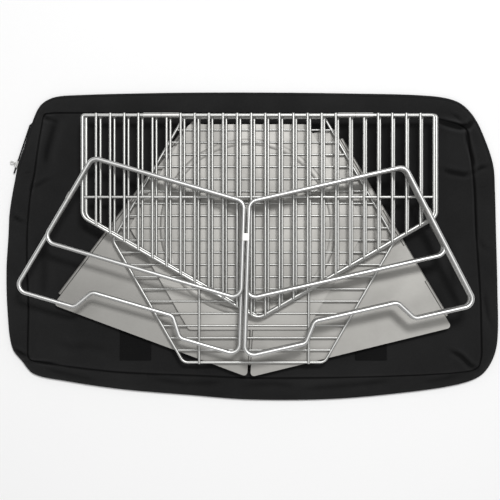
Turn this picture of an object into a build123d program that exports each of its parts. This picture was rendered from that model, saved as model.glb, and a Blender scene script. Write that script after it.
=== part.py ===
from build123d import *
import os
from math import asin, cos, degrees, radians, sin, sqrt, tan

# A knock-down hexagonal fire bowl grill, folded flat and stacked on its carry bag.
# Lengths are millimetres. X runs to the right, Y away from the front, Z up.
# The origin is the middle of the bag's underside.
# From the floor up: bag, bowl plates, ash plate, charcoal grate, cooking grate, stand.

os.makedirs("parts", exist_ok=True)

# Clearances shared by the whole stack
rest_gap = 0.3
weld_bite = 0.15

# Carry bag: the empty bag lies flat, its side walls slope out to the floor
bag_half_length = 291.0
bag_half_width = 181.5
bag_wall = 6.0
bag_height = 14.0
bag_back_cut = 41.0
bag_left_cut = 123.0
bag_right_cut = 82.0
bag_front_cut = 23.0
bag_front_rise = 24.0
bag_side_rise = 60.0
bag_corner_radius = 55.0
bag_side_radius = 110.0
bag_front_radius = 18.0
panel_margin_side = 24.0
panel_margin_back = 24.0
panel_margin_front = 30.0
panel_corner_radius = 35.0
panel_side_radius = 70.0
panel_front_radius = 17.0
webbing_from_seam = 6.0
webbing_width = 37.0
webbing_length = 80.0
webbing_thickness = 1.2
webbing_left_x = -137.0
webbing_right_x = 141.0

# Zip round the bag's back wall: a chain of teeth, and a slider with its pull tab at the left end
zip_height = 2.0
zip_depth = 1.2
zip_left_y = 88.0
zip_right_y = 71.0
slider_from_corner = 41.5
slider_length = 9.0
slider_height = 4.0
slider_depth = 2.8
slider_wall = 0.8
pull_length = 6.0
pull_width = 4.0
pull_rim = 1.0
pull_thickness = 0.8
pull_barrel = 1.8
pull_pin = 0.9
pull_clearance = 0.08

# Bowl: six tapered plates in a ring, hinged by rolled knuckles on pins
plate_wide = 246.5
plate_narrow = 88.0
plate_half_angle = 17.0
plate_sheet = 1.0
plate_corner = 4.0
hem_width = 5.0
hem_thickness = 0.7
barrel_diameter = 4.0
bowl_pin_diameter = 2.0
bowl_pin_clearance = 0.05
knuckles = 5
knuckle_gap = 0.5
barrel_end = 15.0
leaf_clearance = 0.13
bowl_apex_x = 20.2
bowl_apex_y = 268.4
bowl_turn = 3.2

# Ash plate: a hexagon of sheet with a pressed ring
ash_side = 138.0
ash_sheet = 1.0
ash_corner = 5.0
bead_radius = 99.0
bead_width = 8.0
bead_height = 0.8
ash_x = -4.1
ash_y = 23.2

# Charcoal grate: hexagon of rod, bars between its sides, two rods across the bars
charcoal_side = 164.0
charcoal_rim = 3.2
charcoal_bend = 9.0
charcoal_bar = 2.0
charcoal_bars = 19
charcoal_rod = 3.0
charcoal_rod_x = 63.5
charcoal_x = 2.8
charcoal_y = 8.0

# Cooking grate: a hexagon in two hinged halves, folded one on the other
cooking_width = 404.0
cooking_rim = 4.0
cooking_bend = 12.0
fold_bend = 2.6
cooking_bar = 3.0
cooking_bars = 24
cooking_rod = 3.0
cooking_rod_distance = 94.0
clip_distance = 111.5
clip_width = 20.0
clip_seam = 0.6
clip_wall = 0.8
clip_clearance = 0.1
fold_slack = 0.6
lower_shift = 3.5
cooking_x = 7.7
cooking_y = 151.3

# Stand: six wire frames in a ring, short ones and stepped ones with legs by turns
stand_wire = 5.0
stand_top = 186.0
short_side = 110.0
leg_side = 175.0
stand_half_angle = 14.5
stand_bend = 10.0
step_bend = 8.0
step_height = 22.0
step_foot_x = 63.0
step_raised_x = 48.0
stand_slack = 1.0
sleeve_wall = 0.6
sleeve_clearance = 0.1
sleeve_length = 8.0
stand_apex_x = 6.2
stand_apex_y = 421.4
stand_turn = 1.8
sleeve_places = [72.0, 75.0, 56.0, 57.0, 39.0, 50.0]


def wire_loop(plane, corners, radii, diameter):
    """Closed loop of round wire along a polygon with rounded corners on a plane."""
    with BuildPart() as loop:
        with BuildLine(plane) as route:
            FilletPolyline(*corners, radius=radii, close=True)
        path = route.wires()[0]
        with BuildSketch(Plane(origin=path @ 0, z_dir=path % 0)):
            Circle(diameter / 2)
        sweep(path=path)
    return loop.part


def sector_plane(apex_x, apex_y, height, angle):
    """Plane at a pyramid's apex whose -Y runs down the middle of one side."""
    return Plane(
        origin=(apex_x, apex_y, height),
        x_dir=(cos(radians(angle)), sin(radians(angle)), 0),
        z_dir=(0, 0, 1),
    )


def edge_line(plane, half_angle, side, inset, lift):
    """A point on a sector's side edge at the apex's end, its direction and its inward normal."""
    across = cos(radians(half_angle))
    along = sin(radians(half_angle))
    direction = Vector(side * along, -across, 0)
    inward = Vector(-side * across, -along, 0)
    start = plane.from_local_coords(inward * inset + Vector(0, 0, lift))
    tip = plane.from_local_coords(inward * inset + direction + Vector(0, 0, lift))
    inner = plane.from_local_coords(inward * (inset + 1) + Vector(0, 0, lift))
    return start, (tip - start).normalized(), (inner - start).normalized()


# Carry bag
def bag_outline(half_length, back, front):
    """Corners of the bag's outline: its back corners are cut off and its front is bowed."""
    return [
        (bag_back_cut - half_length, back),
        (-half_length, back - bag_left_cut),
        (-half_length, front + bag_side_rise),
        (bag_front_cut - half_length, front + bag_front_rise),
        (0, front),
        (half_length - bag_front_cut, front + bag_front_rise),
        (half_length, front + bag_side_rise),
        (half_length, back - bag_right_cut),
        (half_length - bag_back_cut, back),
    ]


def bag_radii(corner, side, front):
    """Radii at the corners of the outline, in the same order."""
    return [corner, side, front, front, side, front, front, side, corner]


outer = bag_outline(bag_half_length, bag_half_width, -bag_half_width)
outer_radii = bag_radii(bag_corner_radius, bag_side_radius, bag_front_radius)
panel_front = panel_margin_front - bag_half_width
panel = bag_outline(
    bag_half_length - panel_margin_side,
    bag_half_width - panel_margin_back,
    panel_front,
)
panel_radii = bag_radii(panel_corner_radius, panel_side_radius, panel_front_radius)

with BuildPart() as bag_body:
    with BuildSketch(Plane.XY):
        with BuildLine():
            FilletPolyline(*outer, radius=outer_radii, close=True)
        make_face()
    extrude(amount=bag_wall)
    with BuildSketch(Plane.XY.offset(bag_wall)):
        with BuildLine():
            FilletPolyline(*outer, radius=outer_radii, close=True)
        make_face()
    with BuildSketch(Plane.XY.offset(bag_height)):
        with BuildLine():
            FilletPolyline(*panel, radius=panel_radii, close=True)
        make_face()
    loft(ruled=True)
bag_body.part.label = "bag_body"
export_step(bag_body.part, "parts/bag_body.step")

webbing_front = panel_front + bag_front_rise / 2 + webbing_from_seam
for name, x in (("webbing_left", webbing_left_x), ("webbing_right", webbing_right_x)):
    with BuildPart() as webbing:
        with BuildSketch(Plane.XY.offset(bag_height)):
            with Locations((x, webbing_front + webbing_length / 2)):
                Rectangle(webbing_width, webbing_length)
        extrude(amount=webbing_thickness)
    webbing.part.label = name
    export_step(webbing.part, f"parts/{name}.step")

# Zip: the chain follows the wall round the back, from one side seam to the other
beyond = 2 * bag_half_length
with BuildPart() as zip_chain:
    with BuildSketch(Plane.XY.offset((bag_wall - zip_height) / 2)):
        with BuildLine():
            FilletPolyline(*outer, radius=outer_radii, close=True)
        make_face()
        offset(amount=zip_depth)
        with BuildLine():
            FilletPolyline(*outer, radius=outer_radii, close=True)
        make_face(mode=Mode.SUBTRACT)
        Polygon(
            (-bag_half_length - zip_depth, zip_left_y),
            (-bag_half_length - zip_depth, -beyond),
            (bag_half_length + zip_depth, -beyond),
            (bag_half_length + zip_depth, zip_right_y),
            align=None,
            mode=Mode.SUBTRACT,
        )
    extrude(amount=zip_height)
zip_chain.part.label = "zip_chain"
export_step(zip_chain.part, "parts/zip_chain.step")

# The slider starts on the straight stretch of the left wall, above the wall's second corner
wall_run = Vector(*outer[0]) - Vector(*outer[1])
wall_along = wall_run.normalized()
zip_plane = Plane(
    origin=Vector(*outer[1], bag_wall / 2) + wall_along * slider_from_corner,
    x_dir=wall_along,
    z_dir=(-wall_along.Y, wall_along.X, 0),
)
slot_height = zip_height + 2 * rest_gap
slot_depth = zip_depth + rest_gap
pull_pin_depth = slider_depth + pull_barrel / 2 + rest_gap
ear_offset = (pull_width - slider_wall) / 2
with BuildPart() as zip_slider:
    with BuildSketch(zip_plane.offset(rest_gap)):
        RectangleRounded(slider_length, slider_height, slider_wall)
    extrude(amount=slider_depth - rest_gap)
    with BuildSketch(zip_plane):
        Rectangle(slider_length, slot_height)
    extrude(amount=slot_depth, mode=Mode.SUBTRACT)
    with BuildSketch(zip_plane.offset(slider_depth - weld_bite)):
        with Locations((-ear_offset, 0), (ear_offset, 0)):
            Rectangle(slider_wall, pull_barrel)
    extrude(amount=pull_barrel + rest_gap + weld_bite)
    ear_plane = Plane(
        origin=zip_plane.from_local_coords((-ear_offset, 0, pull_pin_depth)),
        x_dir=zip_plane.y_dir,
        z_dir=zip_plane.x_dir,
    )
    with BuildSketch(ear_plane):
        Circle(pull_pin / 2)
    extrude(amount=2 * ear_offset)
zip_slider.part.label = "zip_slider"
export_step(zip_slider.part, "parts/zip_slider.step")

pin_run = pull_width - 2 * slider_wall - 2 * rest_gap
pull_plane = Plane(
    origin=zip_plane.from_local_coords((0, 0, pull_pin_depth)),
    x_dir=zip_plane.x_dir,
    z_dir=-zip_plane.y_dir,
)
with BuildPart() as zip_pull:
    with BuildSketch(pull_plane.offset(-pull_thickness / 2)):
        with Locations((0, pull_length / 2)):
            Rectangle(pin_run, pull_length)
        with Locations((0, pull_length - pull_width / 2)):
            RectangleRounded(pull_width, pull_width, pull_width / 4)
            Rectangle(pull_width - 2 * pull_rim, pull_width - 2 * pull_rim, mode=Mode.SUBTRACT)
    extrude(amount=pull_thickness)
    barrel_plane = Plane(
        origin=pull_plane.from_local_coords((-pin_run / 2, 0, 0)),
        x_dir=pull_plane.y_dir,
        z_dir=pull_plane.x_dir,
    )
    with BuildSketch(barrel_plane):
        Circle(pull_barrel / 2)
    extrude(amount=pin_run)
    with BuildSketch(barrel_plane):
        Circle(pull_pin / 2 + pull_clearance)
    extrude(amount=pin_run, mode=Mode.SUBTRACT)
zip_pull.part.label = "zip_pull"
export_step(zip_pull.part, "parts/zip_pull.step")

# Bowl: heights of the folded plates
barrel_radius = barrel_diameter / 2
axis_offset = barrel_radius - plate_sheet / 2
plate_pitch = 2 * axis_offset
leaf_setback = sqrt((barrel_radius + leaf_clearance) ** 2 - (axis_offset - plate_sheet / 2) ** 2)
bowl_base = bag_height + rest_gap + barrel_radius + axis_offset
plate_reach = plate_wide / (2 * sin(radians(plate_half_angle)))
plate_start = plate_narrow / (2 * sin(radians(plate_half_angle)))
bore_radius = bowl_pin_diameter / 2 + bowl_pin_clearance

# One row for each plate: wedge it lies in (-1 left, 1 right), layer, inside up or down
plate_wedges = [-1, 1, 1, 1, 1, -1]
plate_layers = [0, 0, 1, 2, 3, 3]
plate_insides = [1, 1, -1, 1, -1, -1]
plate_sag = degrees(
    asin(2 * plate_pitch / (plate_reach * sin(radians(2 * plate_half_angle))))
)
barrel_first = plate_start + barrel_end
barrel_step = (plate_reach - barrel_end - barrel_first) / knuckles
centre_hinge_height = bowl_base + plate_layers[4] * plate_pitch + axis_offset
centre_direction = (sin(radians(-bowl_turn)), -cos(radians(-bowl_turn)), 0)
sixth_plate_axis = Axis((bowl_apex_x, bowl_apex_y, centre_hinge_height), centre_direction)


def plate_plane(index):
    """Middle plane of a folded plate, from the apex of the bowl's pyramid."""
    angle = plate_wedges[index] * plate_half_angle - bowl_turn
    height = bowl_base + plate_layers[index] * plate_pitch
    return sector_plane(bowl_apex_x, bowl_apex_y, height, angle)


def knuckle_section(plane, side, offset, station):
    """Plane square to a plate's side edge, centred on its hinge axis."""
    start, direction, inward = edge_line(plane, plate_half_angle, side, 0, offset)
    return Plane(origin=start + direction * station, x_dir=inward, z_dir=direction)


def plate_half_width(depth):
    """Half the sheet's width at a depth below the apex, clear of the barrels."""
    slope = radians(plate_half_angle)
    return depth * tan(slope) - leaf_setback / cos(slope)


wide_depth = plate_reach * cos(radians(plate_half_angle))
narrow_depth = plate_start * cos(radians(plate_half_angle))
for index in range(6):
    plane = plate_plane(index)
    inside = plate_insides[index]
    with BuildPart() as bowl_plate:
        with BuildSketch(plane.offset(-plate_sheet / 2)) as blank:
            Polygon(
                (-plate_half_width(wide_depth), -wide_depth),
                (plate_half_width(wide_depth), -wide_depth),
                (plate_half_width(narrow_depth), -narrow_depth),
                (-plate_half_width(narrow_depth), -narrow_depth),
                align=None,
            )
            fillet(blank.vertices(), plate_corner)
        extrude(amount=plate_sheet)
        hem_depth = wide_depth - hem_width
        hem_end = plate_half_width(hem_depth) - plate_corner
        with BuildSketch(plane.offset(inside * (plate_sheet / 2 + hem_thickness / 2))):
            Polygon(
                (-hem_end, -wide_depth),
                (hem_end, -wide_depth),
                (hem_end, -hem_depth),
                (-hem_end, -hem_depth),
                align=None,
            )
        extrude(amount=hem_thickness / 2, both=True)
        for side in (-1, 1):
            outer_edge = side == plate_wedges[index]
            offset = axis_offset * inside * (1 if outer_edge else -1)
            first_leaf = 0 if (index in (0, 2, 4)) != outer_edge else 1
            stations = range(first_leaf, knuckles, 2)
            if outer_edge and index == 0:
                stations = range(knuckles)
            if outer_edge and index == 5:
                stations = range(0)
            for station in stations:
                near = barrel_first + station * barrel_step + knuckle_gap / 2
                section = knuckle_section(plane, side, offset, near)
                with BuildSketch(section):
                    Circle(barrel_radius)
                    with Locations((leaf_setback / 2 + plate_sheet / 2, side * offset)):
                        Rectangle(leaf_setback + plate_sheet, plate_sheet)
                    Circle(bore_radius, mode=Mode.SUBTRACT)
                extrude(amount=barrel_step - knuckle_gap)
    if index == 5:
        bowl_plate.part = bowl_plate.part.rotate(sixth_plate_axis, plate_sag)
    bowl_plate.part.label = f"bowl_plate_{index + 1}"
    export_step(bowl_plate.part, f"parts/bowl_plate_{index + 1}.step")

# Hinge pins: pin k joins plate k to the next one, and the sixth closes the ring
pin_edges = [0, 1, 0, 1, 0, 1]
for index in range(6):
    owner = index if index < 5 else 0
    side = plate_wedges[owner] * (1 if pin_edges[index] else -1)
    offset = axis_offset * plate_insides[owner] * (1 if pin_edges[index] else -1)
    section = knuckle_section(plate_plane(owner), side, offset, barrel_first)
    with BuildPart() as bowl_pin:
        with BuildSketch(section):
            Circle(bowl_pin_diameter / 2)
        extrude(amount=knuckles * barrel_step)
    bowl_pin.part.label = f"bowl_pin_{index + 1}"
    export_step(bowl_pin.part, f"parts/bowl_pin_{index + 1}.step")

# Ash plate
ash_bottom = centre_hinge_height + barrel_radius + rest_gap
bead_top = ash_bottom + ash_sheet + bead_height
with BuildPart() as ash_plate:
    with BuildSketch(Plane.XY.offset(ash_bottom)) as ash_blank:
        with Locations((ash_x, ash_y)):
            RegularPolygon(ash_side, 6)
        fillet(ash_blank.vertices(), ash_corner)
    extrude(amount=ash_sheet)
    bead_plane = Plane(origin=(ash_x, ash_y, ash_bottom), x_dir=(1, 0, 0), z_dir=(0, -1, 0))
    with BuildSketch(bead_plane):
        with BuildLine():
            ThreePointArc(
                (bead_radius - bead_width / 2, ash_sheet),
                (bead_radius, ash_sheet + bead_height),
                (bead_radius + bead_width / 2, ash_sheet),
            )
            Line(
                (bead_radius + bead_width / 2, ash_sheet),
                (bead_radius - bead_width / 2, ash_sheet),
            )
        make_face()
    revolve(axis=Axis((ash_x, ash_y, 0), (0, 0, 1)))
    with BuildSketch(bead_plane):
        with BuildLine():
            ThreePointArc(
                (bead_radius - bead_width / 2, 0),
                (bead_radius, bead_height),
                (bead_radius + bead_width / 2, 0),
            )
            Line(
                (bead_radius + bead_width / 2, 0),
                (bead_radius - bead_width / 2, 0),
            )
        make_face()
    revolve(axis=Axis((ash_x, ash_y, 0), (0, 0, 1)), mode=Mode.SUBTRACT)
ash_plate.part.label = "ash_plate"
export_step(ash_plate.part, "parts/ash_plate.step")

# Charcoal grate: the bars are flush with the top of the rim, the rods lie on them
charcoal_bar_height = bead_top + rest_gap + charcoal_bar / 2
charcoal_rim_height = charcoal_bar_height + charcoal_bar / 2 - charcoal_rim / 2
charcoal_rod_height = charcoal_bar_height + (charcoal_bar + charcoal_rod) / 2 - weld_bite
charcoal_plane = Plane.XY.offset(charcoal_rim_height)
charcoal_corners = [radians(60 * corner) for corner in range(6)]
hexagon = [
    (charcoal_x + charcoal_side * cos(turn), charcoal_y + charcoal_side * sin(turn))
    for turn in charcoal_corners
]
charcoal_grate_rim = wire_loop(charcoal_plane, hexagon, charcoal_bend, charcoal_rim)
charcoal_grate_rim.label = "charcoal_grate_rim"
export_step(charcoal_grate_rim, "parts/charcoal_grate_rim.step")

charcoal_half_depth = charcoal_side * sin(radians(60))
charcoal_pitch = 2 * charcoal_half_depth / (charcoal_bars + 1)
with BuildPart() as charcoal_grate_bars:
    for row in range(charcoal_bars):
        depth = (row + 1) * charcoal_pitch - charcoal_half_depth
        reach = charcoal_side - abs(depth) / tan(radians(60)) - charcoal_rim / 2
        with BuildSketch(Plane.YZ.offset(charcoal_x - reach)):
            with Locations((charcoal_y + depth, charcoal_bar_height)):
                Circle(charcoal_bar / 2)
        extrude(amount=2 * reach)
charcoal_grate_bars.part.label = "charcoal_grate_bars"
export_step(charcoal_grate_bars.part, "parts/charcoal_grate_bars.step")

with BuildPart() as charcoal_grate_rods:
    with BuildSketch(Plane.XZ.offset(-charcoal_y)):
        with Locations(
            (charcoal_x - charcoal_rod_x, charcoal_rod_height),
            (charcoal_x + charcoal_rod_x, charcoal_rod_height),
        ):
            Circle(charcoal_rod / 2)
    extrude(amount=charcoal_half_depth + charcoal_rim / 2, both=True)
charcoal_grate_rods.part.label = "charcoal_grate_rods"
export_step(charcoal_grate_rods.part, "parts/charcoal_grate_rods.step")

# Cooking grate: each half has its bars on its cooking side, and folds away from it
half_thickness = cooking_rim + cooking_bar - weld_bite
lower_bar_height = charcoal_rod_height + charcoal_rod / 2 + rest_gap + cooking_bar / 2
lower_rim_height = lower_bar_height + (cooking_rim + cooking_bar) / 2 - weld_bite
fold_pitch = cooking_rim + fold_slack
upper_rim_height = lower_rim_height + fold_pitch
upper_bar_height = upper_rim_height + (cooking_rim + cooking_bar) / 2 - weld_bite
cooking_edge = cooking_width / sqrt(3)
bar_pitch = cooking_width / (cooking_bars + 1)
clip_outer = cooking_rim / 2 + clip_clearance + clip_wall
clip_centres = [
    side * clip_distance + half * (clip_width + clip_seam) / 2
    for side in (-1, 1)
    for half in (-1, 1)
]


def clear_of_clips(x):
    """Whether a bar at x passes beside the clips, with a gap on each side."""
    reach = (clip_width + cooking_bar) / 2 + rest_gap
    return all(abs(x - centre) > reach for centre in clip_centres)


def cooking_half(name, shift, rim_height, bar_height, rod_height):
    """One half of the cooking grate: its rim, its bars and the rod across them."""
    centre = cooking_x + shift
    half_width = cooking_width / 2
    outline = [
        (centre - half_width, cooking_y),
        (centre - half_width, cooking_y - cooking_edge / 2),
        (centre, cooking_y - cooking_edge),
        (centre + half_width, cooking_y - cooking_edge / 2),
        (centre + half_width, cooking_y),
    ]
    radii = [fold_bend, cooking_bend, cooking_bend, cooking_bend, fold_bend]
    rim = wire_loop(Plane.XY.offset(rim_height), outline, radii, cooking_rim)
    rim.label = f"cooking_grate_{name}_rim"
    export_step(rim, f"parts/cooking_grate_{name}_rim.step")

    with BuildPart() as bars:
        for place in range(cooking_bars):
            x = (place + 1) * bar_pitch - half_width
            far = cooking_edge - abs(x) / sqrt(3) + cooking_rim / 4
            near = -cooking_rim / 2
            if not clear_of_clips(x + shift):
                near = clip_outer + rest_gap
            with BuildSketch(Plane.XZ.offset(near - cooking_y)):
                with Locations((centre + x, bar_height)):
                    Circle(cooking_bar / 2)
            extrude(amount=far - near)
    bars.part.label = f"cooking_grate_{name}_bars"
    export_step(bars.part, f"parts/cooking_grate_{name}_bars.step")

    with BuildPart() as rod:
        with BuildSketch(Plane.YZ.offset(centre)):
            with Locations((cooking_y - cooking_rod_distance, rod_height)):
                Circle(cooking_rod / 2)
        extrude(amount=half_width - cooking_rim / 2 + weld_bite, both=True)
    rod.part.label = f"cooking_grate_{name}_rod"
    export_step(rod.part, f"parts/cooking_grate_{name}_rod.step")


rod_drop = (cooking_bar + cooking_rod) / 2 - weld_bite
cooking_half("lower", lower_shift, lower_rim_height, lower_bar_height, lower_bar_height + rod_drop)
cooking_half("upper", 0, upper_rim_height, upper_bar_height, upper_bar_height - rod_drop)

with BuildPart() as cooking_grate_clips:
    for centre in clip_centres:
        with BuildSketch(Plane.YZ.offset(cooking_x + centre - clip_width / 2)):
            with Locations((cooking_y, lower_rim_height + fold_pitch / 2)):
                SlotCenterToCenter(fold_pitch, 2 * clip_outer, rotation=90)
                SlotCenterToCenter(
                    fold_pitch, 2 * (clip_outer - clip_wall), rotation=90, mode=Mode.SUBTRACT
                )
        extrude(amount=clip_width)
cooking_grate_clips.part.label = "cooking_grate_clips"
export_step(cooking_grate_clips.part, "parts/cooking_grate_clips.step")

# Stand: heights of the folded frames
stand_base = upper_bar_height + cooking_bar / 2 + rest_gap + stand_wire / 2
stand_pitch = stand_wire + stand_slack
top_radius = stand_top / (2 * sin(radians(stand_half_angle)))
short_radius = top_radius + short_side
leg_radius = top_radius + leg_side
frame_wedges = [-1, 1, 1, 1, 1, -1]
frame_layers = [0, 0, 1, 2, 3, 3]
frame_reaches = [leg_radius, short_radius, leg_radius, short_radius, leg_radius, short_radius]
sixth_span = short_radius * sin(radians(2 * stand_half_angle)) - stand_pitch
sixth_drop = frame_layers[4] * stand_pitch - stand_wire - rest_gap
frame_sag = degrees(asin(sixth_drop / sixth_span))


def frame_plane(index):
    """Middle plane of a folded frame, from the apex of the stand's pyramid."""
    angle = frame_wedges[index] * stand_half_angle - stand_turn
    height = stand_base + frame_layers[index] * stand_pitch
    return sector_plane(stand_apex_x, stand_apex_y, height, angle)


def frame_half_width(depth):
    """Half a frame's width between wire centres at a depth below the apex."""
    slope = radians(stand_half_angle)
    return depth * tan(slope) - stand_pitch / 2 / cos(slope)


def frame_wire_line(index, side):
    """Start, direction and inward normal of the wire along one side of a frame."""
    return edge_line(frame_plane(index), stand_half_angle, side, stand_pitch / 2, 0)


sixth_start, sixth_direction = frame_wire_line(5, 1)[:2]
sixth_frame_axis = Axis(sixth_start, sixth_direction)
top_depth = top_radius * cos(radians(stand_half_angle))
for index in range(6):
    foot_depth = frame_reaches[index] * cos(radians(stand_half_angle))
    foot_width = frame_half_width(foot_depth)
    corners = [(-frame_half_width(top_depth), -top_depth), (-foot_width, -foot_depth)]
    radii = [stand_bend, stand_bend]
    if frame_reaches[index] == leg_radius:
        corners = corners + [
            (-step_foot_x, -foot_depth),
            (-step_raised_x, step_height - foot_depth),
            (step_raised_x, step_height - foot_depth),
            (step_foot_x, -foot_depth),
        ]
        radii = radii + [step_bend, step_bend, step_bend, step_bend]
    corners = corners + [(foot_width, -foot_depth), (frame_half_width(top_depth), -top_depth)]
    radii = radii + [stand_bend, stand_bend]
    stand_frame = wire_loop(frame_plane(index), corners, radii, stand_wire)
    if index == 5:
        stand_frame = stand_frame.rotate(sixth_frame_axis, frame_sag)
    stand_frame.label = f"stand_frame_{index + 1}"
    export_step(stand_frame, f"parts/stand_frame_{index + 1}.step")

# Hinge sleeves: sleeve k holds side wires of frames k and k + 1. The third turns on both wires, the
# others are crimped on one of them
sleeve_inner = stand_wire + 2 * sleeve_clearance
sleeve_outer = sleeve_inner + 2 * sleeve_wall
for index in range(6):
    outer_edge = index in (1, 3, 5)
    side = frame_wedges[index] * (1 if outer_edge else -1)
    start, direction, inward = frame_wire_line(index, side)
    middle = start + direction * (top_radius + sleeve_places[index] - sleeve_length / 2)
    section = Plane(origin=middle, x_dir=inward, z_dir=direction)
    towards_next = Vector(0, 0, 1) if index in (1, 2, 3) else -inward
    band = Plane(origin=middle + towards_next * stand_pitch / 2, x_dir=towards_next, z_dir=direction)
    with BuildPart() as stand_sleeve:
        if index == 5:
            with BuildSketch(section):
                Circle(sleeve_outer / 2)
                Circle(sleeve_inner / 2, mode=Mode.SUBTRACT)
        else:
            with BuildSketch(band):
                SlotCenterToCenter(stand_pitch, sleeve_outer)
                SlotCenterToCenter(stand_pitch, sleeve_inner, mode=Mode.SUBTRACT)
        extrude(amount=sleeve_length)
    if index == 5:
        stand_sleeve.part = stand_sleeve.part.rotate(sixth_frame_axis, frame_sag)
    stand_sleeve.part.label = f"stand_sleeve_{index + 1}"
    export_step(stand_sleeve.part, f"parts/stand_sleeve_{index + 1}.step")
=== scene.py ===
# %% [markdown]
# # A fire bowl grill, folded flat on its carry bag
#
# The steel pieces come ready made from the CAD model, so this lesson gives them their finishes,
# and makes the soft pieces new: the bag, its webbing and its zip.

# %% Load the frame
from math import atan2, cos, exp, hypot, pi, radians, sin

import bmesh
import bpy
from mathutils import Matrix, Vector, noise


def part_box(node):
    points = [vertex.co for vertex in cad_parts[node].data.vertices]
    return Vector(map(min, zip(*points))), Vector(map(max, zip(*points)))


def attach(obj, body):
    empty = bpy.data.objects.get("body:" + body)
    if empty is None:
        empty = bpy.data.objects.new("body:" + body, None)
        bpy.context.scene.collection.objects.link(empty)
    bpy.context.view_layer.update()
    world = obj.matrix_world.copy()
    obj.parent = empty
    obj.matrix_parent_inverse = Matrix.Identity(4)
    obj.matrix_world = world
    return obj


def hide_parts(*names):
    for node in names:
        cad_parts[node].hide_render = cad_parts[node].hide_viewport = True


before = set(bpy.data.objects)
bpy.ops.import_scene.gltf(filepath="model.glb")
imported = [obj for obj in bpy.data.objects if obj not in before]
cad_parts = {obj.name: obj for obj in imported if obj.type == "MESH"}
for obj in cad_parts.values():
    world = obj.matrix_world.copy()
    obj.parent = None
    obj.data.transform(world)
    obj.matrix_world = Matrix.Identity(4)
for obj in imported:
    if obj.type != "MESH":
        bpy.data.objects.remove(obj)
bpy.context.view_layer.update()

# %% [markdown]
# ## The camera
#
# The picture was taken from straight above. How high isn't known, so 1.25 m over the floor is
# assumed, with a short telephoto lens. A real lens makes high pieces look a little larger than low
# ones, so a perspective camera is used and not an orthographic one. The same numbers turn a place
# in the 500 pixel picture into a place on the object, which is how the bag's edge is drawn further
# down.

# %% Camera
camera_height = 1.25
camera_x = -0.0018
camera_y = -0.0036
floor_view_width = 0.5971
picture_width = 500

camera_data = bpy.data.cameras.new("camera")
camera_data.lens = camera_data.sensor_width * camera_height / floor_view_width
camera = bpy.data.objects.new("camera", camera_data)
camera.location = (camera_x, camera_y, camera_height)
bpy.context.scene.collection.objects.link(camera)
bpy.context.scene.camera = camera
bpy.context.scene.view_settings.view_transform = "Standard"
print("lens", round(camera_data.lens, 1), "mm")


def from_picture(across, down, height):
    """The place of a pixel of the picture, for a point at a height above the floor."""
    size = floor_view_width / picture_width * (camera_height - height) / camera_height
    middle = picture_width / 2
    return Vector((camera_x + (across - middle) * size, camera_y + (middle - down) * size, height))


# %% [markdown]
# ## Light and floor
#
# A wide panel overhead gives the steel something bright to mirror, and a dimmer world all round
# leaves the wires' sides darker, which is what makes them look round. The floor is a plain pale
# sheet that keeps the soft shadow round the bag.

# %% Lamps and world
def add_lamp(name, place, target, width, depth, power):
    """A soft rectangular lamp at a place, turned to face a target."""
    data = bpy.data.lights.new(name, "AREA")
    data.shape = "RECTANGLE"
    data.size = width
    data.size_y = depth
    data.energy = power
    lamp = bpy.data.objects.new(name, data)
    lamp.location = place
    lamp.rotation_euler = (Vector(target) - Vector(place)).to_track_quat("-Z", "Y").to_euler()
    bpy.context.scene.collection.objects.link(lamp)
    print(name, power, "W")


add_lamp("key_lamp", (0.25, 0.66, 2.0), (0, 0, 0), width=0.32, depth=0.26, power=23)
add_lamp("overhead_lamp", (0, -0.1, 2.1), (0, -0.1, 0), width=2.2, depth=2.0, power=10)
world_strength = 0.37
world = bpy.data.worlds.new("studio")
world.use_nodes = True
background = world.node_tree.nodes["Background"]
background.inputs["Color"].default_value = (1, 1, 1, 1)
background.inputs["Strength"].default_value = world_strength
bpy.context.scene.world = world

# %% Floor
floor_side = 8
bpy.ops.object.select_all(action="DESELECT")
bpy.ops.mesh.primitive_plane_add(size=floor_side, location=(0, 0, 0))
floor = bpy.context.object
floor.name = "floor"

# %% [markdown]
# ## Shader maths that reads like arithmetic
#
# Each finish is a small network of nodes. Adding them one by one hides the idea behind a lot of
# wiring, so two helpers carry it: `Signal` wraps one output socket and lets it be added, multiplied
# and compared like a number, and `Finish` holds a material and adds any other kind of node.

# %% Signals and finishes
def connect(socket, value):
    """Feed an input socket from a signal, or set it to a plain value."""
    if isinstance(value, Signal):
        socket.id_data.links.new(value.socket, socket)
    else:
        socket.default_value = value


class Signal:
    """One output socket that takes part in arithmetic."""

    def __init__(self, socket):
        self.socket = socket

    def maths(self, operation, first, second):
        node = self.socket.id_data.nodes.new("ShaderNodeMath")
        node.operation = operation
        connect(node.inputs[0], first)
        connect(node.inputs[1], second)
        return Signal(node.outputs[0])

    def __add__(self, other):
        return self.maths("ADD", self, other)

    def __sub__(self, other):
        return self.maths("SUBTRACT", self, other)

    def __rsub__(self, other):
        return self.maths("SUBTRACT", other, self)

    def __mul__(self, other):
        return self.maths("MULTIPLY", self, other)

    def __gt__(self, other):
        return self.maths("GREATER_THAN", self, other)


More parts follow.
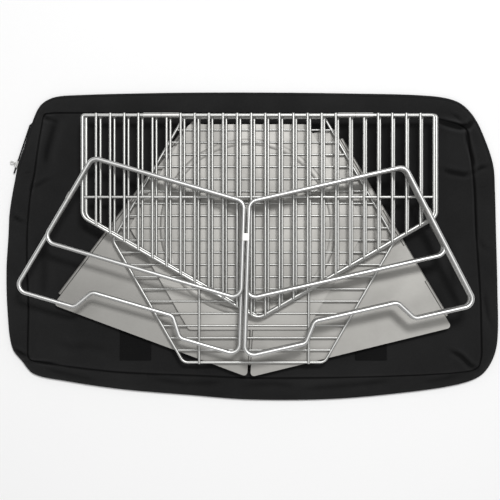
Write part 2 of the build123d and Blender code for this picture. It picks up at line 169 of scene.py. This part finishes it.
class Finish:
    """A material with its surface shader, and the place on the object that its patterns read."""

    def __init__(self, name):
        self.material = bpy.data.materials.new(name)
        self.material.use_nodes = True
        self.tree = self.material.node_tree
        self.shader = self.tree.nodes["Principled BSDF"]
        self.place = self.node("TexCoord", output="Object")

    def node(self, kind, settings=None, output=0, **sockets):
        """Add a node: its settings first, then the values or signals of its sockets."""
        added = self.tree.nodes.new("ShaderNode" + kind)
        for name, value in (settings or {}).items():
            if name == "stops":
                ramp = added.color_ramp
                while len(ramp.elements) < len(value):
                    ramp.elements.new(0.5)
                for element, (position, shade) in zip(ramp.elements, value):
                    element.position = position
                    element.color = shade
            else:
                setattr(added, name, value)
        for name, value in sockets.items():
            connect(added.inputs[name.replace("_", " ")], value)
        return Signal(added.outputs[output])

    def set(self, **sockets):
        for name, value in sockets.items():
            connect(self.shader.inputs[name.replace("_", " ")], value)

    def shade(self, amount, dark, light):
        """A colour between dark and light, by an amount from 0 to 1."""
        return self.node(
            "Mix", {"data_type": "RGBA"}, output=2, Factor=amount, A=dark, B=light
        )

    def blotches(self, size, detail=2.0, place=None):
        """Soft cloudy noise from 0 to 1, whose patches are about a size in metres."""
        return self.node("TexNoise", Vector=place or self.place, Scale=1 / size, Detail=detail)


# %% Floor finish
paper = Finish("studio_floor")
paper.set(Base_Color=(0.97, 0.97, 0.97, 1), Roughness=0.9)
floor.data.materials.append(paper.material)

# %% [markdown]
# ## The bag's outline
#
# The bag lies empty and collapsed: one black top panel, a seam all round it, and low side walls
# that slope down to the floor. Sewn cloth never lies in a neat rectangle, so the outline is drawn
# over the picture, as pairs of points clockwise from the back left: first the wall's outer
# edge, a little over the floor, then where the seam runs beside it.

# %% Outline stations
edge_height = 0.005
panel_height = 0.0138
edge_and_seam = [
    ((52, 98), (50, 113.5)),
    ((70, 95.5), (60, 113)),
    ((160, 93), (150, 113.5)),
    ((250, 92.5), (250, 113.5)),
    ((350, 93.5), (350, 114.5)),
    ((430, 96), (425, 117)),
    ((458, 102), (450, 122)),
    ((474, 117), (466, 129)),
    ((486, 142), (470, 150)),
    ((493.4, 166), (473, 172)),
    ((495, 190), (474.5, 190)),
    ((496, 230), (476, 230)),
    ((497.5, 290), (480, 290)),
    ((497.5, 340), (481.5, 340)),
    ((492, 361), (481, 360)),
    ((480, 376), (474, 370)),
    ((455, 385), (440, 374)),
    ((400, 393), (385, 376.5)),
    ((330, 399), (320, 378)),
    ((250, 399.5), (250, 378)),
    ((190, 395), (190, 375.5)),
    ((120, 389), (120, 372.5)),
    ((66, 381), (75, 367.5)),
    ((34, 374), (40, 362.5)),
    ((22, 361), (29, 359)),
    ((12, 347), (27.6, 348)),
    ((7.5, 310), (28.3, 310)),
    ((6.5, 270), (27, 270)),
    ((8.5, 235), (27, 235)),
    ((9.6, 213), (28.7, 210)),
    ((12.4, 194), (30.8, 192)),
    ((15.4, 178), (33.8, 177)),
    ((18.0, 165), (35.5, 165)),
    ((23.0, 150), (37.5, 150)),
    ((31.6, 124), (41.5, 126)),
    ((40, 106), (44, 115)),
]
edge_marks = [from_picture(*edge, edge_height) for edge, seam in edge_and_seam]
seam_marks = [from_picture(*seam, panel_height) for edge, seam in edge_and_seam]
print(len(edge_and_seam), "pairs of marks")


# %% Smooth loops through the marks
def running_lengths(marks):
    """Distance along a closed run of marks, at each mark and back at the first."""
    lengths = [0.0]
    for here, there in zip(marks, marks[1:] + marks[:1]):
        lengths.append(lengths[-1] + (there - here).length)
    return lengths


def smooth_loop(marks, lengths, count):
    """Evenly spaced points on a smooth closed curve through the marks."""
    total = lengths[-1]
    number = len(marks)
    slopes = []
    for index in range(number):
        before, after = marks[index - 1], marks[(index + 1) % number]
        reach = lengths[index + 1] - lengths[index]
        reach += lengths[index] - lengths[index - 1] if index else total - lengths[-2]
        slopes.append((after - before) / reach)
    points = []
    piece = 0
    for step in range(count):
        place = total * step / count
        while lengths[piece + 1] < place:
            piece += 1
        span = lengths[piece + 1] - lengths[piece]
        part = (place - lengths[piece]) / span
        here, there = marks[piece], marks[(piece + 1) % number]
        pull, push = slopes[piece] * span, slopes[(piece + 1) % number] * span
        points.append(
            here * (2 * part**3 - 3 * part**2 + 1)
            + pull * (part**3 - 2 * part**2 + part)
            + there * (3 * part**2 - 2 * part**3)
            + push * (part**3 - part**2)
        )
    return points


bag_stations = 640
edge_lengths = running_lengths(edge_marks)
edge_loop = smooth_loop(edge_marks, edge_lengths, bag_stations)
seam_loop = smooth_loop(seam_marks, edge_lengths, bag_stations)
print("round the bag", round(edge_lengths[-1], 3), "m")

# %% [markdown]
# ## The bag's shell
#
# The shell is lofted: at each station round the outline the same profile runs from the middle of
# the underside, out to the edge, up the wall to the seam and in over the panel to the middle. A
# seam pulls the cloth down in a narrow groove with a soft welt on each side, and the zip's tape is
# sewn along the back wall in a finer line. Folds and creases come next, each along a drawn line,
# and slow noise keeps any stretch from being flat. Every point also remembers how deep in a fold
# or groove it lies, which the cloth's colour uses for painted shade in the folds and grooves, and
# for a painted highlight, with some wear, on the ridges beside them.
#
# A cloth simulation is another way to make folds, and wasn't tried here. These are wanted in the
# places where the picture shows them, so they are drawn.

# %% Folds and creases
def drawn(*pixels):
    """A line on the bag's top, from places in the picture."""
    return [from_picture(across, down, panel_height) for across, down in pixels]


# Each crease is its line, its depth and the width of its valley.
creases = [
    (
        drawn((436, 120), (450, 124.5), (460, 127), (468, 126), (473, 121), (478, 117)),
        0.0050,
        0.0026,
    ),
    (drawn((448, 112), (457, 116), (464, 123)), 0.0022, 0.0022),
    (drawn((466, 128), (468, 140), (473, 160), (474, 172)), 0.0034, 0.0019),
    (drawn((474, 172), (475.5, 200), (477, 240)), 0.0016, 0.0016),
    (drawn((440, 168), (452, 172), (464, 174.5), (474, 172)), 0.0028, 0.0026),
    (drawn((474, 172), (482, 167), (493, 166)), 0.0034, 0.0024),
    (drawn((474, 188), (484, 187.5), (497, 188)), 0.0018, 0.0010),
    (drawn((14, 170), (24, 171.5), (34, 174)), 0.0018, 0.0011),
    (drawn((8, 211), (12, 214), (17, 219), (26, 223)), 0.0034, 0.0024),
    (drawn((27, 189), (36, 186), (44, 181), (54, 177)), 0.0013, 0.0026),
    (drawn((33, 176), (31, 189), (29, 202)), 0.0016, 0.0014),
    (drawn((9, 347), (18, 352), (29, 357)), 0.0042, 0.0022),
    (drawn((19, 362.5), (26, 361), (31, 362)), 0.0036, 0.0018),
    (drawn((30, 361.5), (44, 362.5), (60, 364)), 0.0026, 0.0016),
    (drawn((42, 369), (70, 375), (98, 381)), 0.0016, 0.0034),
    (drawn((150, 379), (185, 384), (225, 383)), 0.0014, 0.0038),
    (drawn((240, 386), (275, 384), (300, 388)), 0.0012, 0.0034),
    (drawn((300, 390), (350, 386), (392, 381)), 0.0016, 0.0038),
    (drawn((420, 383), (440, 380), (462, 374)), 0.0014, 0.0030),
    (drawn((448, 349), (461, 356), (470, 365), (480, 370)), 0.0024, 0.0026),
    (drawn((484, 290), (487, 304), (489, 316), (495, 330)), 0.0016, 0.0030),
    (drawn((478, 236), (484, 246), (494, 252)), 0.0014, 0.0032),
    (drawn((58, 115), (53, 128), (47, 148), (44, 168)), 0.0018, 0.0050),
    (drawn((40, 113), (46, 118), (56, 121)), 0.0026, 0.0022),
    (drawn((12, 268), (19, 276), (27, 280)), 0.0012, 0.0034),
    (drawn((52, 341), (70, 347), (86, 346), (112, 350)), 0.0008, 0.0044),
    (drawn((445, 235), (452, 262), (455, 292)), 0.0011, 0.0050),
    (drawn((36, 236), (44, 262), (43, 300)), 0.0011, 0.0050),
]
full_fold = 0.0030
fold_end = 0.011
crease_reach = 4
ridge_share = 0.42
ridge_place = 1.9
end_loss = 0.8
end_sharpness = 1.5
least_shade = 0.25


def distance_to_line(x, y, line):
    """Distance in plan from a point to a run of straight pieces, and on to the run's end."""
    nearest, before_end, gone = 1.0, 0.0, 0.0
    whole = sum((end - start).length for start, end in zip(line, line[1:]))
    for start, end in zip(line, line[1:]):
        run_x, run_y = end.x - start.x, end.y - start.y
        part = ((x - start.x) * run_x + (y - start.y) * run_y) / (run_x**2 + run_y**2)
        part = min(1, max(0, part))
        distance = hypot(x - start.x - part * run_x, y - start.y - part * run_y)
        reach = hypot(run_x, run_y)
        if distance < nearest:
            nearest = distance
            before_end = min(gone + part * reach, whole - gone - part * reach)
        gone += reach
    return nearest, before_end


def fold_depth(x, y):
    """How far the creases lower the cloth at a place, with a soft rise beside each."""
    depth = 0
    for line, deep, wide in creases:
        distance, before_end = distance_to_line(x, y, line)
        away = distance / wide
        if away < crease_reach:
            fading = 1 - exp(-((before_end / fold_end) ** 2) * end_sharpness) * end_loss
            ridge = ridge_share * exp(-((away - ridge_place) ** 2))
            depth += fading * deep * (exp(-(away**2)) - ridge)
    return depth


def fold_shade(sunk):
    """How much painted shade a place this deep in a fold gets, and below 0 a painted highlight on a
    ridge.
    """
    return sunk / full_fold * min(1, abs(sunk) / full_fold + least_shade)


def slow_noise(x, y, size, seed):
    """Smooth noise from about -1 to 1, whose waves are about a size long."""
    return noise.noise(Vector((x / size, y / size, seed)))


def dip(distance, width):
    """A smooth dip of depth 1 at distance 0."""
    return exp(-((distance / width) ** 2))


# %% Profile of wall and panel
near_edge = [0, 0.0010, 0.0021, 0.0030, 0.0034, 0.0038, 0.0042, 0.0049]
near_edge_share = 0.3
wall_steps = [0.37, 0.44, 0.51, 0.58, 0.65, 0.72, 0.79, 0.85, 0.9, 0.95]
groove_steps = [-0.0012, -0.0006, 0, 0.0006, 0.0012, 0.0020, 0.0032]
panel_rings = 46
groove_depth = 0.0024
welt_height = 0.0007
groove_width = 0.0009
welt_place = 0.0023
welt_width = 0.001
tape_line = 0.0037
tape_groove = 0.0008
tape_groove_width = 0.0005
wall_fullness = 0.9
edge_fold_share = 0.35
panel_sag = 0.0009
sag_run = 0.02
roll_height = 0.0012
roll_inside = 0.012
roll_width = 0.008
roll_least = 0.6
# Waves in the cloth are their size, the seed of their noise and their height.
wall_waves = [(0.045, 3.1, 0.0018), (0.014, 7.7, 0.0010)]
panel_waves = [(0.075, 5.2, 0.0010), (0.026, 9.4, 0.0006)]
roll_wave = (0.05, 1.3)
tape_left_end = from_picture(17, 171, edge_height).y
tape_right_end = from_picture(496, 188, edge_height).y


def wall_point(edge, seam, part):
    """A point on the wall, from the edge at 0 to the seam at 1, and how deep in a fold it lies."""
    across = edge.lerp(seam, part)
    x, y = across.xy
    swell = (panel_height - edge_height) * sin(part * pi / 2) ** wall_fullness
    wander = sum(slow_noise(x, y, size, seed) * high for size, seed, high in wall_waves)
    rise = edge_height + swell + wander * sin(part * pi)
    sunk = fold_depth(x, y) * (edge_fold_share + (1 - edge_fold_share) * part)
    if y > (tape_left_end if x < 0 else tape_right_end):
        sunk += tape_groove * dip((across - edge).length - tape_line, tape_groove_width)
    return Vector((x, y, rise - sunk)), fold_shade(sunk)


def panel_point(x, y, inside, groove=0.0):
    """A point on the panel this far inside the seam, and how deep in a fold it lies."""
    level = panel_height - panel_sag * (1 - exp(-inside / sag_run))
    roll = roll_height * dip(inside - roll_inside, roll_width)
    level += roll * (roll_least + slow_noise(x, y, *roll_wave))
    level += sum(slow_noise(x, y, size, seed) * high for size, seed, high in panel_waves)
    sunk = fold_depth(x, y) + groove
    return Vector((x, y, level - sunk)), fold_shade(sunk)


# %% Loft the shell
spine_half = 0.12
spine_reach = 0.45
ring_crowding = 1.25
last_ring = 0.985
# Each ring of the underside is its share of the way in to the spine, and its height.
underside = [
    (0.9, 0), (0.6, 0), (0.3, 0), (0.1, 0), (0.045, 0),
    (0.024, 0.0002), (0.0155, 0.0012), (0.0115, 0.0028), (0.0055, 0.0043),
]


def spine_point(place):
    """The point on the bag's middle line that a place on the seam is joined to."""
    return Vector((max(-spine_half, min(spine_half, place.x * spine_reach)), 0.0, place.z))


rings = []
for inset, rise in underside:
    rings.append([
        (Vector((*edge.lerp(spine_point(edge), inset).xy, rise)), 0) for edge in edge_loop
    ])
for index, reach in enumerate(near_edge):
    most = near_edge_share * index / len(near_edge)
    rings.append([
        wall_point(edge, seam, min(reach / (seam - edge).length, most))
        for edge, seam in zip(edge_loop, seam_loop)
    ])
for part in wall_steps:
    rings.append([wall_point(edge, seam, part) for edge, seam in zip(edge_loop, seam_loop)])
for step in groove_steps:
    welt = welt_height * dip(abs(step) - welt_place, welt_width)
    groove = groove_depth * dip(step, groove_width) - welt
    ring = []
    for edge, seam in zip(edge_loop, seam_loop):
        inward = (seam - edge).xy.normalized() * step
        ring.append(panel_point(seam.x + inward.x, seam.y + inward.y, max(0, step), groove))
    rings.append(ring)
for index in range(1, panel_rings + 1):
    share = (index / panel_rings) ** ring_crowding * last_ring
    ring = []
    for edge, seam in zip(edge_loop, seam_loop):
        start = seam + Vector((*((seam - edge).xy.normalized() * groove_steps[-1]), 0))
        place = start.lerp(spine_point(seam), share)
        ring.append(panel_point(place.x, place.y, (place - seam).xy.length))
    rings.append(ring)
print(len(rings), "rings of", bag_stations)

# %% Make the shell's mesh
shell = bmesh.new()
# The fold layer carries the painted shade of folds and seam grooves, and the painted highlight on
# ridges, to the cloth's colour.
fold_layer = shell.verts.layers.float.new("fold")
ring_points = []
for ring in rings:
    ring_points.append([shell.verts.new(place) for place, fold in ring])
    for vertex, (place, fold) in zip(ring_points[-1], ring):
        vertex[fold_layer] = fold
cloth_map = shell.loops.layers.uv.new("cloth")
for lower, upper in zip(ring_points, ring_points[1:]):
    for index in range(bag_stations):
        after = (index + 1) % bag_stations
        shell.faces.new((lower[index], lower[after], upper[after], upper[index]))
shell.faces.new(ring_points[0][::-1])
shell.faces.new(ring_points[-1])
bmesh.ops.recalc_face_normals(shell, faces=shell.faces)
for face in shell.faces:
    face.smooth = True
    for corner in face.loops:
        corner[cloth_map].uv = corner.vert.co.xy
bag_mesh = bpy.data.meshes.new("carry_bag_shell")
shell.to_mesh(bag_mesh)
shell.free()
bag = bpy.data.objects.new("carry_bag_shell", bag_mesh)
bpy.context.scene.collection.objects.link(bag)
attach(bag, "carry_bag")
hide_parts("bag_body")
print("bag", len(bag_mesh.polygons), "faces")

# %% [markdown]
# ## Black bag cloth
#
# The bag is sewn from heavy black polyester. Its threads cross about every 0.6 mm, too fine to see
# from above but plain from close by, so the weave is a bump of two crossed waves on the cloth's own
# map, which is laid out in metres. The black is never even: painted shade keeps it deep inside the
# folds and seam grooves, a painted highlight with some wear makes it pale on the ridges beside
# them, it holds some dust, and it wanders slowly from patch to patch.

# %% Cloth finish
thread_pitch = 0.0006


def cloth(name, dark, faded_and_lit, dust=0.5):
    """Black woven cloth between two shades, with its weave read from the piece's own map."""
    woven = Finish(name)
    threads = woven.node("UVMap", {"uv_map": "cloth"})
    crossing = []
    for direction in ("X", "Y"):
        crossing.append(
            woven.node(
                "TexWave",
                {"bands_direction": direction, "wave_profile": "SIN"},
                output="Fac",
                Vector=threads,
                Scale=pi / (10 * thread_pitch),
                Distortion=0.6,
                Detail=1.0,
            )
        )
    weave = crossing[0] * 0.5 + crossing[1] * 0.5
    patches = woven.blotches(0.06, 3.0)
    grains = woven.blotches(0.0016, 2.0)
    specks = woven.blotches(0.0035, 4.0) > 0.735
    # Painted shade: the fold attribute darkens the cloth in its folds and seam grooves, and
    # lightens its ridges as a painted highlight with some wear.
    folded = woven.node("Attribute", {"attribute_name": "fold"}, output="Fac")
    wear_and_fold_shading = patches * 0.5 + grains * 0.25 + weave * 0.2 - folded * 0.85 - 0.1
    woven.set(
        Base_Color=woven.shade(wear_and_fold_shading + specks * dust, (*dark, 1), (*faded_and_lit, 1)),
        Roughness=0.92 - weave * 0.12,
        Specular_IOR_Level=0.15,
        Sheen_Weight=0.02,
        Sheen_Roughness=0.5,
        Normal=woven.node(
            "Bump", Height=weave + grains * 0.4, Strength=0.55, Distance=0.00018
        ),
    )
    return woven


bag_cloth = cloth("black_bag_cloth", (0.0030, 0.0030, 0.0031), (0.0270, 0.0270, 0.0272))
bag.data.materials.append(bag_cloth.material)

# %% [markdown]
# ## Webbing
#
# Two straps are sewn flat on the panel near its front seam. Webbing like this is woven with a
# heavy weft, so it shows a row of fine ribs across it. Each strap starts as a flat grid as wide and
# long as the one in the CAD model. The grid is laid on the panel, and the ribs are raised on it
# before it gets its thickness, so the cloth under a strap and the strap itself never part.

# %% Ribbed straps
rib_pitch = 0.0019
rib_height = 0.00028
rib_steps = 8
strap_thickness = 0.0011
strap_columns = 24
rolled_depth = 0.0005
rolled_sharpness = 12


def strap(name, node):
    """A ribbed strap that lies on the panel where the CAD model has its plain one."""
    low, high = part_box(node)
    rows = round((high.y - low.y) / rib_pitch * rib_steps)
    bpy.ops.object.select_all(action="DESELECT")
    bpy.ops.mesh.primitive_grid_add(x_subdivisions=strap_columns, y_subdivisions=rows, size=2)
    piece = bpy.context.object
    piece.name = name
    for vertex in piece.data.vertices:
        across = vertex.co.x
        x = (low.x + high.x + across * (high.x - low.x)) / 2
        y = (low.y + high.y + vertex.co.y * (high.y - low.y)) / 2
        ground = panel_point(x, y, y - low.y + strap_thickness)[0].z
        rib = rib_height * cos(2 * pi * (y - low.y) / rib_pitch)
        rolled = rolled_depth * abs(across) ** rolled_sharpness
        vertex.co = (x, y, ground + strap_thickness + rib - rolled)
    bpy.ops.object.modifier_add(type="SOLIDIFY")
    piece.modifiers["Solidify"].thickness = strap_thickness
    bpy.ops.object.modifier_apply(modifier="Solidify")
    bpy.ops.object.shade_smooth()
    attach(piece, "carry_bag")
    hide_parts(node)
    piece.data.materials.append(strap_cloth.material)
    top = max(vertex.co.z for vertex in piece.data.vertices)
    print(name, len(piece.data.polygons), "faces, top at", round(top, 4))


strap_cloth = cloth("black_webbing", (0.0022, 0.0022, 0.0023), (0.0120, 0.0120, 0.0122), 0.2)
strap("strap_left", "webbing_left")
strap("strap_right", "webbing_right")

# %% [markdown]
# ## The zip
#
# The zip runs round the back of the bag, low on the wall. Its teeth are moulded in pairs on a black
# tape, an upper and a lower one by turns. One pair is modelled, repeated along a straight line and
# then bent along the wall, which is how a real chain comes: straight from the reel, and sewn round
# the corners afterwards. The line of the wall is read from the CAD model's chain, and pulled in
# where the bag's edge lies further in than that.

# %% The wall's line behind the zip
def edge_distance(angle):
    """How far the bag's edge is from its middle in a direction, counted clockwise from +Y."""
    for here, there in zip(edge_loop, edge_loop[1:] + edge_loop[:1]):
        first, last = atan2(here.x, here.y), atan2(there.x, there.y)
        if first <= angle < last:
            part = (angle - first) / (last - first)
            return here.xy.length * (1 - part) + there.xy.length * part
    return edge_loop[0].xy.length


least_upright = 0.9
least_outward = 0.3
low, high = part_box("zip_chain")
zip_middle = (low.z + high.z) / 2
chain_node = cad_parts["zip_chain"]
outer_marks = set()
for polygon in chain_node.data.polygons:
    middle = chain_node.matrix_world @ polygon.center
    facing = chain_node.matrix_world.to_3x3() @ polygon.normal
    outward = facing.xy.dot(middle.xy.normalized())
    if facing.xy.length > least_upright and outward > least_outward:
        for index in polygon.vertices:
            corner = chain_node.matrix_world @ chain_node.data.vertices[index].co
            outer_marks.add((round(corner.x, 5), round(corner.y, 5)))
clockwise = sorted(outer_marks, key=lambda mark: atan2(*mark))
corners = [Vector((x, y, zip_middle)) for x, y in clockwise]
zip_tooth_depth = 0.0012
mark_spacing = 0.006
straight_marks = 2
zip_marks = corners[:straight_marks]
for here, there in zip(corners[1:], corners[2:]):
    count = max(1, round((there - here).length / mark_spacing))
    for step in range(1, count + 1):
        mark = here.lerp(there, step / count)
        most = edge_distance(atan2(mark.x, mark.y)) - zip_tooth_depth
        mark.xy = mark.xy * min(1, most / mark.xy.length)
        zip_marks.append(mark)
zip_run = sum((there - here).length for here, there in zip(zip_marks, zip_marks[1:]))
print(len(zip_marks), "marks, zip", round(zip_run, 3), "m from", zip_marks[0], "to", zip_marks[-1])

# %% Teeth and tape
zip_data = bpy.data.curves.new("zip_line", "CURVE")
zip_data.dimensions = "3D"
zip_spline = zip_data.splines.new("POLY")
zip_spline.points.add(len(zip_marks) - 1)
for point, mark in zip(zip_spline.points, zip_marks):
    point.co = (*mark, 1)
zip_line = bpy.data.objects.new("zip_line", zip_data)
bpy.context.scene.collection.objects.link(zip_line)
tooth_pitch = 0.0013
tooth_size = (0.0009, 0.0014, 0.0011)
tooth_steps = ((0.25, 1), (0.75, -1))
tooth_out = zip_tooth_depth * 0.35
tooth_rise = tooth_size[2] * 0.42


def bend_along_zip(piece):
    """Bend a straight piece along the zip's line."""
    bpy.ops.object.modifier_add(type="CURVE")
    piece.modifiers["Curve"].object = zip_line
    bpy.ops.object.modifier_apply(modifier="Curve")


bpy.ops.object.select_all(action="DESELECT")
for step, side in tooth_steps:
    place = (tooth_pitch * step, tooth_out, side * tooth_rise)
    bpy.ops.mesh.primitive_cube_add(size=1, location=place, scale=tooth_size)
    bpy.ops.object.transform_apply(location=True)
    tooth = bpy.context.object
    if side == 1:
        teeth = tooth
teeth.select_set(True)
bpy.context.view_layer.objects.active = teeth
bpy.ops.object.join()
teeth.name = "zip_teeth"
bpy.ops.object.modifier_add(type="ARRAY")
array = teeth.modifiers["Array"]
array.count = int(zip_run / tooth_pitch)
array.use_relative_offset = False
array.use_constant_offset = True
array.constant_offset_displace = (tooth_pitch, 0, 0)
bpy.ops.object.modifier_apply(modifier="Array")
bend_along_zip(teeth)
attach(teeth, "carry_bag")
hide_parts("zip_chain")

tape_height = 0.0046
tape_thickness = 0.0003
tape_columns = 600
bpy.ops.object.select_all(action="DESELECT")
bpy.ops.mesh.primitive_grid_add(
    x_subdivisions=tape_columns,
    y_subdivisions=2,
    size=1,
    location=(zip_run / 2, 0, 0),
    rotation=(pi / 2, 0, 0),
)
tape = bpy.context.object
tape.name = "zip_tape"
tape.scale = (zip_run, tape_height, 1)
bpy.ops.object.transform_apply(location=True, rotation=True, scale=True)
bend_along_zip(tape)
bpy.ops.object.modifier_add(type="SOLIDIFY")
tape.modifiers["Solidify"].thickness = tape_thickness
tape.modifiers["Solidify"].offset = 0
bpy.ops.object.modifier_apply(modifier="Solidify")
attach(tape, "carry_bag")
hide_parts("zip_chain")
bpy.data.objects.remove(zip_line)
print("zip teeth", len(teeth.data.polygons), "faces, tape", len(tape.data.polygons))

# %% Zip finishes
moulded = Finish("moulded_black_teeth")
worn_teeth = moulded.blotches(0.004, 3.0)
moulded.set(
    Base_Color=moulded.shade(worn_teeth, (0.006, 0.006, 0.0062, 1), (0.028, 0.028, 0.0284, 1)),
    Roughness=worn_teeth * 0.25 + 0.35,
    Normal=moulded.node("Bump", Height=moulded.blotches(0.0004), Strength=0.3, Distance=0.00003),
)
teeth.data.materials.append(moulded.material)
tape.data.materials.append(strap_cloth.material)

# %% [markdown]
# ## Steel
#
# Every metal piece is stainless steel, but no two kinds shine alike. The plates are cold rolled
# sheet: satin, with a grain of fine lines along the way it was rolled, and the smudges that hands
# leave on it. The pair that lies on the left looks darker in the picture, and gets a darker copy of
# the same steel as painted shade.
# The wires are drawn and then polished, so they mirror the studio more cleanly, with a darker rim
# where they curve away. One helper makes both, since only the grain and the shine differ.

# %% Steel finishes
def steel(name, bright, dull, smooth, rough, grain_turn=0.0, grain_depth=0.0, smudge_size=0.05):
    """Stainless steel between two greys and two roughnesses, with an optional rolled grain."""
    metal = Finish(name)
    metal.set(Metallic=1.0)
    smudges = metal.blotches(smudge_size, 3.0)
    marks = metal.node(
        "ValToRGB", {"stops": [(0.42, (0, 0, 0, 1)), (0.68, (1, 1, 1, 1))]}, Fac=smudges
    )
    specks = metal.blotches(0.004, 2.0)
    metal.set(
        Base_Color=metal.shade(smudges * 0.6 + specks * 0.4, (*dull, 1), (*bright, 1)),
        Roughness=marks * (rough - smooth) * 0.7 + specks * (rough - smooth) * 0.3 + smooth,
    )
    if grain_depth:
        # The grain's noise is stretched along the rolling and squeezed across it.
        turned = metal.node("Mapping", Vector=metal.place, Rotation=(0, 0, radians(grain_turn)))
        lines = metal.node(
            "TexNoise",
            Vector=metal.node("Mapping", Vector=turned, Scale=(14, 1500, 200)),
            Scale=1.0,
            Detail=2.0,
        )
        metal.set(Normal=metal.node("Bump", Height=lines, Strength=0.25, Distance=grain_depth))
    return metal


def dress(finish, *names):
    """Give a finish to CAD nodes, in place of the plain one that they came with."""
    for name in names:
        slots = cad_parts[name].data.materials
        slots.clear()
        slots.append(finish.material)


sheet_bright = (0.42, 0.411, 0.391)
sheet_dull = (0.33, 0.324, 0.307)
shaded_left_bright = (0.368, 0.36, 0.343)
shaded_left_dull = (0.289, 0.284, 0.269)
# The left pair's steel is a darker copy of the same sheet: painted shade.
shaded_left_sheet = steel("sheet_steel_left_painted_shade", shaded_left_bright, shaded_left_dull, 0.54, 0.66, 20, 0.00004)
right_sheet = steel("sheet_steel_right", sheet_bright, sheet_dull, 0.54, 0.66, -17, 0.00004)
ash_sheet = steel("sheet_steel_ash_plate", sheet_bright, sheet_dull, 0.52, 0.64, 3, 0.00004)
left_reach = -0.15
plates = [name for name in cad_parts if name.startswith("bowl_plate_")]
lying_left = [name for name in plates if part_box(name)[0].x < left_reach]
lying_right = [name for name in plates if name not in lying_left]
dress(shaded_left_sheet, *lying_left)
dress(right_sheet, *lying_right)
dress(ash_sheet, "ash_plate")
print("lying left", lying_left, "lying right", lying_right)

# %% Wires, clips, sleeves and pins
polished = steel("polished_stand_wire", (0.66, 0.66, 0.65), (0.55, 0.55, 0.54), 0.34, 0.46)
drawn_wire = steel("drawn_grate_wire", (0.6, 0.6, 0.585), (0.5, 0.5, 0.485), 0.38, 0.5)
zip_metal = steel("nickel_zip_metal", (0.6, 0.6, 0.59), (0.42, 0.42, 0.41), 0.25, 0.42, 0, 0, 0.003)
pressed = steel("pressed_clip_steel", (0.6, 0.595, 0.58), (0.5, 0.495, 0.48), 0.38, 0.5)
turned_pin = steel("turned_pin_steel", (0.5, 0.495, 0.48), (0.42, 0.415, 0.4), 0.4, 0.55)
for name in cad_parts:
    if name.startswith("stand_frame"):
        dress(polished, name)
    elif "grate" in name and "clips" not in name:
        dress(drawn_wire, name)
    elif name.startswith("stand_sleeve") or "clips" in name:
        dress(pressed, name)
    elif name.startswith("bowl_pin"):
        dress(turned_pin, name)
    elif name in ("zip_slider", "zip_pull"):
        dress(zip_metal, name)
